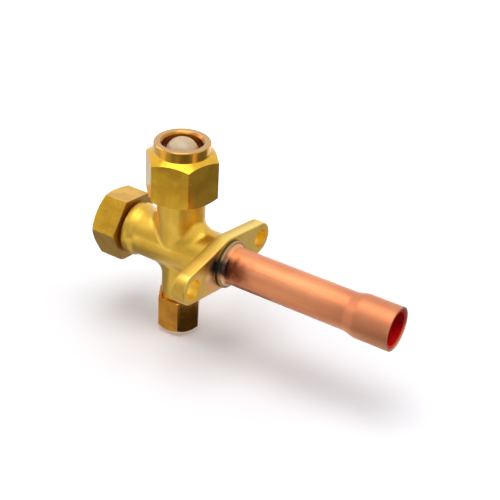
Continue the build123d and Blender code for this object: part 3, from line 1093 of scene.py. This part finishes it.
@dataclass(frozen=True)
class TubeJoint:
    """The copper tube, its braze and its dust plug."""

    edge: float = 0.0002
    plug_edge: float = 0.00015
    copper: DrawnCopper = DrawnCopper()
    braze: BrazeMetal = BrazeMetal()
    # The plug's darker upper part is painted shade inside the tube's mouth
    plastic: MouldedPlastic = MouldedPlastic(
        "red_moulding", base=(0.94, 0.006, 0.008), shade=(0.88, 0.010, 0.010),
        roughness=0.28, scatter=0.12, upper_shade=(0.45, 0.003, 0.005),
    )

    def build(self) -> list[Object]:
        """Build the tube, the bead of braze and the plug.

        Returns:
            The three.
        """
        copper, braze, red = (f.material() for f in (self.copper, self.braze, self.plastic))
        tube = Shape.copy_of("copper_tube").soften(self.edge, segments=3)
        bead = Shape.copy_of("braze_fillet")
        plug = Shape.copy_of("dust_plug").soften(self.plug_edge)
        return [
            tube.piece("tube", "valve", Slot.COPPER, copper, "copper_tube"),
            bead.piece("braze_bead", "valve", Slot.BRAZE, braze, "braze_fillet"),
            plug.piece("plug", "dust_plug", Slot.RED, red, "dust_plug"),
        ]


@dataclass(frozen=True)
class InnerParts:
    """The stem, the access valve core and the seals, which keep their CAD shapes.

    Attributes:
        spring_seat: Height of the spring's fixed end. Not used.
        spring_foot: Height of its other end. Not used.
        press: How far the pin goes in. Not used.
        steel: Finish of the spring, the pin and the snap ring.
        stem_brass: Finish of the stem.
        core_brass: Finish of the core's turned pieces.
        rubber: Finish of the ring seals.
        board: Finish of the washers.
    """

    spring_seat: float = -0.0220
    spring_foot: float = -0.0286
    press: float = 0.0015
    steel: SpringSteel = SpringSteel()
    stem_brass: TurnedBrass = TurnedBrass("stem_brass", Line.BARREL, along_radius=0.0074)
    core_brass: TurnedBrass = TurnedBrass("core_brass", Line.NECK, along_radius=0.0027)
    rubber: SoftSeal = SoftSeal("black_rubber_seal", (0.018, 0.018, 0.019), (0.05, 0.05, 0.052))
    board: SoftSeal = SoftSeal("gasket_board", (0.50, 0.50, 0.46), (0.62, 0.62, 0.58))

    def spring(self, steel: Material) -> Object:
        """Build the core's spring.

        Args:
            steel: Its material.

        Returns:
            The spring.
        """
        shape = Shape.copy_of("core_spring")
        coil = shape.piece("closing_spring", "valve", Slot.STEEL, steel, "core_spring")
        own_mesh(coil)
        return coil

    def dress(self, finish: Material, *nodes: str) -> list[Object]:
        """Give CAD nodes their finish.

        Args:
            finish: The material.
            *nodes: Names of the nodes.

        Returns:
            The nodes' objects.
        """
        things = [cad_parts[node] for node in nodes]
        for thing in things:
            thing.data.materials[0] = finish
        return things

    def build(self) -> list[Object]:
        """Build the spring and dress the other inner nodes.

        Returns:
            All the inner parts.
        """
        steel, rubber, board = (f.material() for f in (self.steel, self.rubber, self.board))
        core = self.core_brass.material()
        return [
            self.spring(steel),
            *self.dress(steel, "stem_retaining_ring", "core_pin"),
            *self.dress(self.stem_brass.material(), "valve_stem"),
            *self.dress(core, "core_swivel", "core_barrel", "core_plug_cup"),
            *self.dress(rubber, "stem_o_ring", "core_barrel_seal", "core_plug_seal"),
            *self.dress(board, "stem_cap_gasket", "service_cap_gasket"),
        ]


@dataclass(frozen=True)
class Card:
    """A flat card on the floor that only mirrored light shows.

    Attributes:
        name: Its name.
        low: Its corner of least X and Y.
        high: Its corner of greatest X and Y.
        grey: How bright it is, where 1 is white.
    """

    name: str
    low: Pair
    high: Pair
    grey: float


@dataclass(frozen=True)
class Softbox:
    """A rectangular soft light, which faces the valve.

    Attributes:
        name: Its name.
        place: Where it hangs.
        size: Its two sides.
        radiance: How bright it is, where 1 is white.
        mirrored: Whether the metal mirrors it.
    """

    name: str
    place: Place
    size: Pair
    radiance: float
    mirrored: bool = True


@dataclass(frozen=True)
class Studio:
    """White floor, soft lights, and the grey cards that the metal mirrors.

    Attributes:
        floor_gap: Gap between the valve and the floor.
        card_step: Height of each card over the one before.
        floor_size: Side of the floor.
        floor_colour: Its colour.
        floor_shade: Its faint clouds.
        floor_lift: Light that it adds of its own near the valve, where it keeps the shadow.
        far_lift: The same far off.
        lift_fade: Distances over which the one goes over to the other.
        day: Strength of the world for light that neither the camera nor the metal sees.
        lights: The softboxes.
        cards: The cards on the floor, each over the one before.
        card_grain: Darkest and lightest of a card's clouds, as shares of its grey.
        flag_low, flag_high: Opposite corners of the upright card in front.
        flag_grey: How bright that card is.
    """

    floor_gap: float = 0.0003
    card_step: float = 0.00002
    floor_size: float = 6.0
    floor_colour: RGB = (0.965, 0.96, 1.0)
    floor_shade: RGB = (0.95535, 0.9504, 1.0)
    floor_lift: float = 0.16
    far_lift: float = 0.88
    lift_fade: Pair = (0.02, 0.32)
    day: float = 0.12
    lights: tuple[Softbox, ...] = (
        Softbox("overhead_softbox", (-0.05, -0.06, 0.60), (0.50, 0.48), 1.8),
        Softbox("top_softbox", (-0.02, -0.02, 0.60), (0.45, 0.45), 1.95, mirrored=False),
        Softbox("right_softbox", (0.42, 0.16, 0.46), (0.40, 0.40), 1.8, mirrored=False),
        Softbox("left_softbox", (-0.75, -0.25, 0.35), (0.50, 0.50), 1.3),
    )
    cards: tuple[Card, ...] = (
        Card("ground_card", (-0.30, -0.113), (0.13, 0.13), 0.72),
        Card("strip_card", (-0.060, -0.113), (0.045, -0.080), 1.30),
        Card("front_card", (-0.12, -0.60), (0.30, -0.113), 0.56),
        Card("brown_card", (-0.050, -0.34), (0.034, -0.176), 0.01),
        Card("collar_card", (0.030, -0.19), (0.20, -0.040), 0.16),
        Card("cap_card", (-0.11, -0.05), (-0.05, 0.01), 0.28),
        Card("port_card", (-0.016, -0.010), (0.008, 0.025), 0.05),
        Card("ear_card", (0.015, 0.045), (0.064, 0.120), 0.55),
        Card("right_card", (0.050, -0.060), (0.120, 0.015), 0.45),
        Card("back_card", (0.066, 0.020), (0.60, 0.60), 0.20),
    )
    card_grain: Pair = (0.9, 1.1)
    flag_low: Place = (-0.90, -0.55, -0.04)
    flag_high: Place = (0.15, -0.55, 0.48)
    flag_grey: float = 0.58

    def light(self, softbox: Softbox) -> None:
        """Hang a softbox, facing the valve.

        Args:
            softbox: The softbox.
        """
        lamp = bpy.data.lights.new(softbox.name, "AREA")
        lamp.shape = "RECTANGLE"
        lamp.size, lamp.size_y = softbox.size
        lamp.energy = softbox.radiance * lamp.size * lamp.size_y * pi
        thing = bpy.data.objects.new(softbox.name, lamp)
        thing.location = softbox.place
        thing.rotation_euler = (-Vector(softbox.place)).to_track_quat("-Z", "Y").to_euler()
        thing.visible_glossy = softbox.mirrored
        bpy.context.scene.collection.objects.link(thing)

    def card(self, name: str, corners: Sequence[Place], grey: float) -> None:
        """Place a card that only mirrored light shows.

        Args:
            name: The card's name.
            corners: Its four corners, in order.
            grey: How bright it is.
        """
        g = Graph(name)
        dark, light = ((grey * share,) * 3 for share in self.card_grain)
        clouds = g.noise(0.05, detail=2.0)
        g.set(base_color=(0.0, 0.0, 0.0), roughness=1.0)
        g.set(emission_color=g.tint(clouds, dark, light), emission_strength=1.0)
        sheet = bmesh.new()
        sheet.faces.new([sheet.verts.new(corner) for corner in corners])
        thing = self.stage_piece(name, sheet, g.material)
        thing.visible_camera = thing.visible_diffuse = False
        thing.visible_shadow = thing.visible_transmission = False

    def stage_piece(self, name: str, sheet: BMesh, finish: Material) -> Object:
        """Make an object that belongs to the studio and not to the valve.

        Args:
            name: Its name.
            sheet: Its mesh, which is used up.
            finish: Its material.

        Returns:
            The object.
        """
        data = bpy.data.meshes.new(name)
        sheet.to_mesh(data)
        sheet.free()
        data.materials.append(finish)
        thing = bpy.data.objects.new(name, data)
        bpy.context.scene.collection.objects.link(thing)
        return thing

    def seen(self, nodes: bpy.types.Nodes, links: bpy.types.NodeLinks) -> Socket:
        """Tell the light that the camera or the metal sees from other light.

        Args:
            nodes: Nodes of a material or world.
            links: Its links.

        Returns:
            1 for the first and 0 for the other.
        """
        path = nodes.new("ShaderNodeLightPath")
        seen = path.outputs["Is Camera Ray"]
        for ray in ("Is Glossy Ray", "Is Transmission Ray"):
            either = nodes.new("ShaderNodeMath")
            either.operation = "MAXIMUM"
            links.new(seen, either.inputs[0])
            links.new(path.outputs[ray], either.inputs[1])
            seen = either.outputs[0]
        return seen

    def floor(self) -> None:
        """Lay the white floor just under the valve."""
        g = Graph("studio_floor")
        g.set(base_color=g.tint(g.noise(0.4), self.floor_colour, self.floor_shade))
        g.set(roughness=0.9, emission_color=(1.0, 1.0, 1.0))
        lift = distance(g.x, g.y).fade(*self.lift_fade).between(self.floor_lift, self.far_lift)
        g.set(emission_strength=Field(g, self.seen(g.nodes, g.links)) * lift)
        sheet = bmesh.new()
        bmesh.ops.create_grid(sheet, x_segments=1, y_segments=1, size=self.floor_size / 2)
        bmesh.ops.translate(sheet, vec=(0, 0, CAD_LOW.z - self.floor_gap), verts=sheet.verts)
        self.stage_piece("studio_floor", sheet, g.material)

    def world(self) -> None:
        """Set a white backdrop that the camera and the metal see, and softer light elsewhere."""
        world = bpy.data.worlds.new("studio_world")
        bpy.context.scene.world = world
        world.use_nodes = True
        nodes, links = world.node_tree.nodes, world.node_tree.links
        back = nodes["Background"]
        level = nodes.new("ShaderNodeMapRange")
        links.new(self.seen(nodes, links), level.inputs["Value"])
        level.inputs["To Min"].default_value = self.day
        links.new(level.outputs["Result"], back.inputs["Strength"])
        back.inputs["Color"].default_value = (1, 1, 1, 1)

    def build(self) -> None:
        """Build the whole studio."""
        self.world()
        self.floor()
        for softbox in self.lights:
            self.light(softbox)
        for layer, card in enumerate(self.cards, start=1):
            (x0, y0), (x1, y1) = card.low, card.high
            z = CAD_LOW.z - self.floor_gap + layer * self.card_step
            self.card(card.name, [(x0, y0, z), (x1, y0, z), (x1, y1, z), (x0, y1, z)], card.grey)
        (x0, y, z0), (x1, _, z1) = self.flag_low, self.flag_high
        flag = [(x1, y, z0), (x0, y, z0), (x0, y, z1), (x1, y, z1)]
        self.card("front_flag", flag, self.flag_grey)


@dataclass(frozen=True)
class PhotoCamera:
    """The camera, where a fit to the photograph's outline puts it.

    Attributes:
        place: Where it stands.
        right: The picture's direction to the right.
        down: The picture's direction down.
        focal_pixels: Focal length in pixels.
        image_pixels: Side of the picture in pixels.
        sensor: Width of the sensor in millimetres.
        clip: Nearest and farthest distance that it sees.
    """

    place: Place = (0.2052, -0.3234, 0.2438)
    right: Place = (0.8384, 0.5427, 0.0504)
    down: Place = (0.3222, -0.4191, -0.8488)
    focal_pixels: float = 1117.19
    image_pixels: float = 500.0
    sensor: float = 36.0
    clip: Pair = (0.01, 20.0)

    def build(self) -> None:
        """Set up the scene's camera and its view settings."""
        right = Vector(self.right).normalized()
        back = right.cross(-Vector(self.down)).normalized()
        up = back.cross(right)
        turn = Matrix((right, up, back)).transposed()
        data = bpy.data.cameras.new("photo_camera")
        data.sensor_width = self.sensor
        data.lens = self.sensor * self.focal_pixels / self.image_pixels
        data.clip_start, data.clip_end = self.clip
        camera = bpy.data.objects.new("photo_camera", data)
        camera.matrix_world = Matrix.Translation(self.place) @ turn.to_4x4()
        bpy.context.scene.collection.objects.link(camera)
        bpy.context.scene.camera = camera
        bpy.context.scene.view_settings.view_transform = "Standard"


def main() -> None:
    """Build and dress every piece, then the studio and the camera."""
    logging.basicConfig(level=logging.INFO, format="%(name)s %(message)s")
    for assembly in (ForgedBody(), FlareUnion(), HexCaps(), TubeJoint(), InnerParts()):
        for thing in assembly.build():
            data = thing.data
            log.info("%s: %d faces, %s", thing.name, len(data.polygons), data.materials[0].name)
    Studio().build()
    PhotoCamera().build()


if __name__ == "__main__":
    main()
